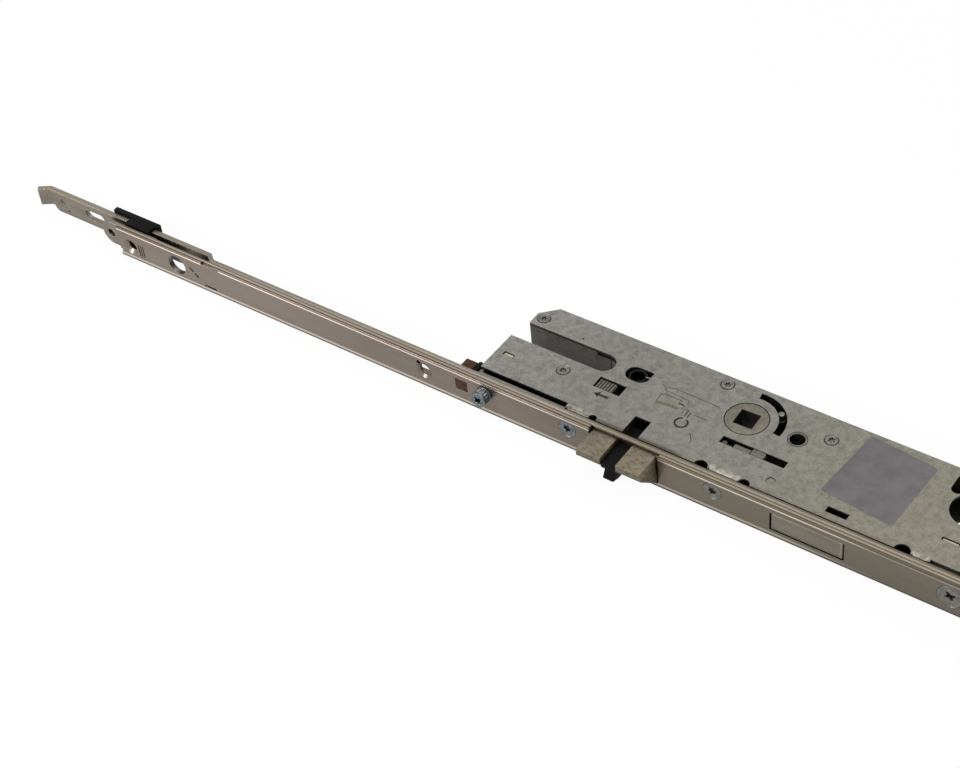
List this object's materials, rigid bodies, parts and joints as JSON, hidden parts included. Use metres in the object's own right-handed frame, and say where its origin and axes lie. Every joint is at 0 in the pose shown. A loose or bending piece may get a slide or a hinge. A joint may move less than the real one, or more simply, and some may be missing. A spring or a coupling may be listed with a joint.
{
  "type": "multipoint door lock",
  "caption": "Mortise case of a multipoint door lock on a long narrow faceplate, with sprung latch and trigger, key-driven deadbolt and drive rail with coupling tongues.",
  "frame": {"origin": "centre of the square spindle hole, at half the thickness of the case", "axes": "+X down the door along the faceplate, +Y from the faceplate into the door, +Z across the case out of its screwed cover"},
  "size_m": [0.7334, 0.0618, 0.016],
  "materials": {
    "faceplate": "plated, satin",
    "rail": "zinc plated strip, satin",
    "case": "galvanised sheet, mottled",
    "bolt": "cast and plated, dull",
    "steel": "blue zinc",
    "lug": "dark zinc",
    "black": "moulded, matt",
    "brown": "moulded, matt",
    "spring": "drawn wire"
  },
  "bodies": {
    "case": {"faceplate": "faceplate", "upper_end_lug": "lug", "lower_end_lug": "lug", "upper_guide_clip": "black", "lower_guide_clip": "black", "centre_clip": "brown", "clip_finger": "black", "case_base": "case", "case_walls": "case", "channel_liner": "case", "locating_tabs": "case", "case_cover": "case", "case_posts": "steel", "cover_screws": "steel", "faceplate_screws": "steel", "transport_screw": "steel", "cylinder_screw": "steel", "screw_sleeves": "steel", "spring_seat_block": "case", "latch_spring": "spring", "deadbolt_guides": "case", "pinion_axles": "steel", "reversing_base": "case", "snib_base": "case", "snib_spring": "spring", "snib_peg": "steel"},
    "drive": {"drive_rail": "rail", "drive_plate": "case", "drive_rack": "steel", "rack_rivets": "steel"},
    "bolt": {"deadbolt": "bolt", "deadbolt_pin": "steel"},
    "upper_pinion": {"key_pinion_upper": "steel"},
    "lower_pinion": {"key_pinion_lower": "steel"},
    "handle_follower": {"follower": "bolt", "follower_pin": "steel"},
    "latch": {"latch_bolt": "bolt", "latch_tail": "case", "latch_rivets": "steel", "trigger_spring": "spring"},
    "trigger": {"latch_trigger": "black"},
    "reversing": {"reversing_slider": "bolt"},
    "snib": {"snib_slider": "bolt"}
  },
  "joints": [
    {"name": "drive_slide", "type": "slide", "parent": "case", "child": "drive", "axis": [1, 0, 0], "range_m": [0, 0.012]},
    {"name": "deadbolt_slide", "type": "slide", "parent": "case", "child": "bolt", "axis": [0, -1, 0], "range_m": [0, 0.018]},
    {"name": "upper_pinion_spin", "type": "hinge", "parent": "case", "child": "upper_pinion", "pos_m": [0.07943, -0.0187, 0], "axis": [0, 0, 1], "range_deg": [0, 115]},
    {"name": "lower_pinion_spin", "type": "hinge", "parent": "case", "child": "lower_pinion", "pos_m": [0.10457, -0.0187, 0], "axis": [0, 0, 1], "range_deg": [0, 115]},
    {"name": "follower_turn", "type": "hinge", "parent": "case", "child": "handle_follower", "pos_m": [0, 0, 0], "axis": [0, 0, 1], "range_deg": [-46, 0]},
    {"name": "latch_slide", "type": "slide", "parent": "case", "child": "latch", "axis": [0, 1, 0], "range_m": [0, 0.01], "stiffness_N_per_m": 500, "springref_m": -0.006, "deforming": ["latch_spring"]},
    {"name": "trigger_slide", "type": "slide", "parent": "latch", "child": "trigger", "axis": [0, 1, 0], "range_m": [0, 0.006], "stiffness_N_per_m": 120, "springref_m": -0.004, "deforming": ["trigger_spring"]},
    {"name": "reversing_slide", "type": "slide", "parent": "case", "child": "reversing", "axis": [1, 0, 0], "range_m": [0, 0.0036]},
    {"name": "snib_slide", "type": "slide", "parent": "case", "child": "snib", "axis": [1, 0, 0], "range_m": [0, 0.008], "stiffness_N_per_m": 60, "springref_m": -0.004, "deforming": ["snib_spring"]}
  ],
  "couplings": [
    {"joint": "deadbolt_slide", "follows": "drive_slide", "ratio": 1.5},
    {"joint": "upper_pinion_spin", "follows": "drive_slide", "rad_per_m": 166.67},
    {"joint": "lower_pinion_spin", "follows": "drive_slide", "rad_per_m": 166.67},
    {"joint": "follower_turn", "follows": "latch_slide", "rad_per_m": -78.54}
  ]
}
